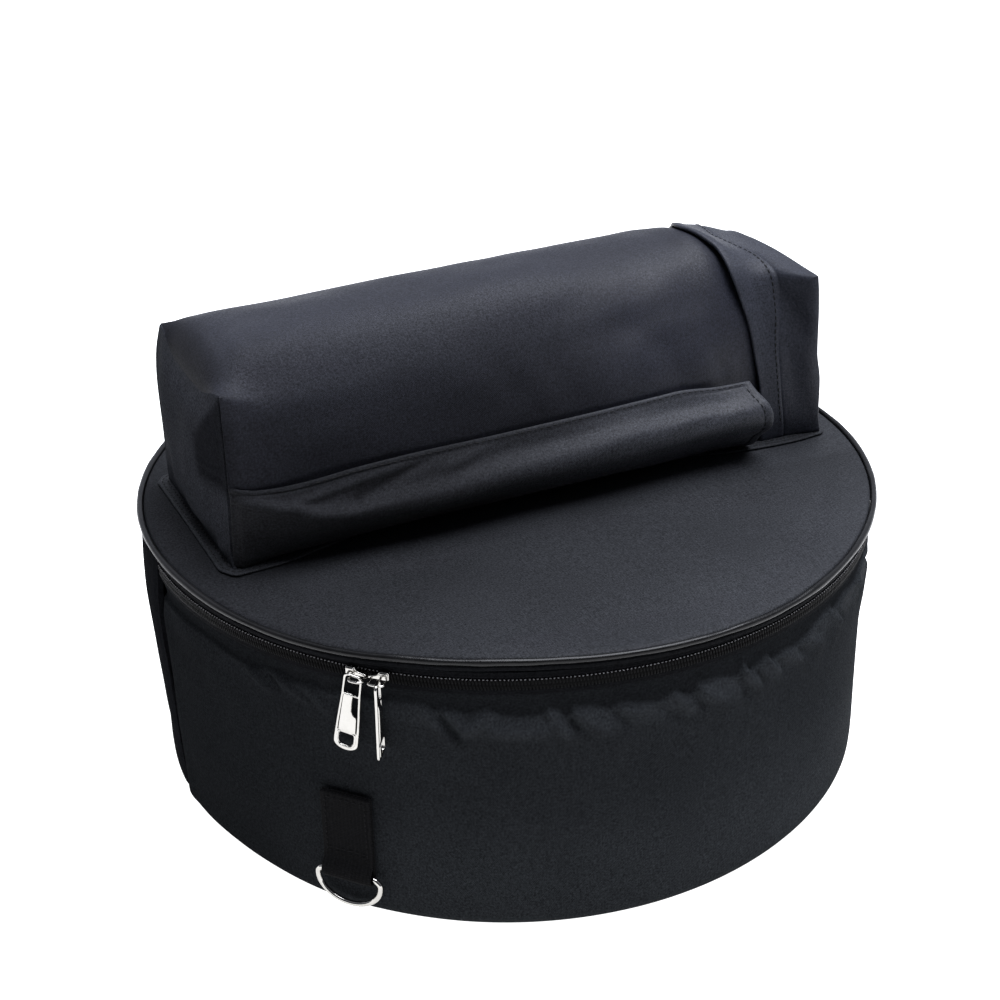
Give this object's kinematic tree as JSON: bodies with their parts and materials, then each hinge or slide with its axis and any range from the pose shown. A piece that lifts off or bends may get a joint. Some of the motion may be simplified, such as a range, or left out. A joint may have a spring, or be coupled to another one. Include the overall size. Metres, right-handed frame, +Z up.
{
  "type": "snare drum bag",
  "caption": "Round padded drum bag with a zipped lid, a long accessory pocket lying across the lid and a webbing tab with a D-ring.",
  "frame": {"origin": "centre of the round base, on the floor the bag stands on", "axes": "+Z up; X along the pocket that lies on the lid; -Y towards the pocket's hemmed front"},
  "size_m": [0.381, 0.381, 0.2601],
  "materials": {
    "padding_cloth": "satin woven",
    "cloth": "satin woven",
    "tape": "matt woven",
    "webbing": "ribbed woven",
    "piping": "gloss",
    "coil": "satin",
    "nickel": "polished"
  },
  "bodies": {
    "bag": {"base_panel": "padding_cloth", "side_wall": "padding_cloth", "hinge_panel": "padding_cloth", "lid_panel": "cloth", "lid_piping": "piping", "zip_tape_upper": "tape", "zip_coil": "coil", "zip_tape_lower": "tape", "pocket_main_panel": "cloth", "pocket_end_left": "cloth", "pocket_end_right": "cloth", "pocket_cuff": "cloth", "pocket_front_lip": "cloth", "pocket_base_flange": "cloth", "d_ring_tab": "webbing"},
    "slider_left": {"slider_left": "nickel"},
    "slider_right": {"slider_right": "nickel"},
    "pull_left": {"pull_left": "nickel"},
    "pull_right": {"pull_right": "nickel"},
    "d_ring": {"d_ring": "nickel"}
  },
  "joints": [
    {"name": "slider_left_travel", "type": "hinge", "parent": "bag", "child": "slider_left", "pos_m": [0, 0, 0.1385], "axis": [0, 0, 1], "range_deg": [-41, 0]},
    {"name": "slider_right_travel", "type": "hinge", "parent": "bag", "child": "slider_right", "pos_m": [0, 0, 0.1385], "axis": [0, 0, 1], "range_deg": [0, 220]},
    {"name": "pull_left_swing", "type": "hinge", "parent": "slider_left", "child": "pull_left", "pos_m": [-0.1403, -0.13167, 0.1369], "axis": [-0.7224, -0.6915, 0], "range_deg": [-75, 5]},
    {"name": "pull_right_swing", "type": "hinge", "parent": "slider_right", "child": "pull_right", "pos_m": [-0.13213, -0.14329, 0.1369], "axis": [0.7296, -0.6839, 0], "range_deg": [-120, 0]},
    {"name": "d_ring_swing", "type": "hinge", "parent": "bag", "child": "d_ring", "pos_m": [-0.14466, -0.12487, 0.0265], "axis": [0.6534, -0.757, 0], "range_deg": [-150, 0]}
  ]
}
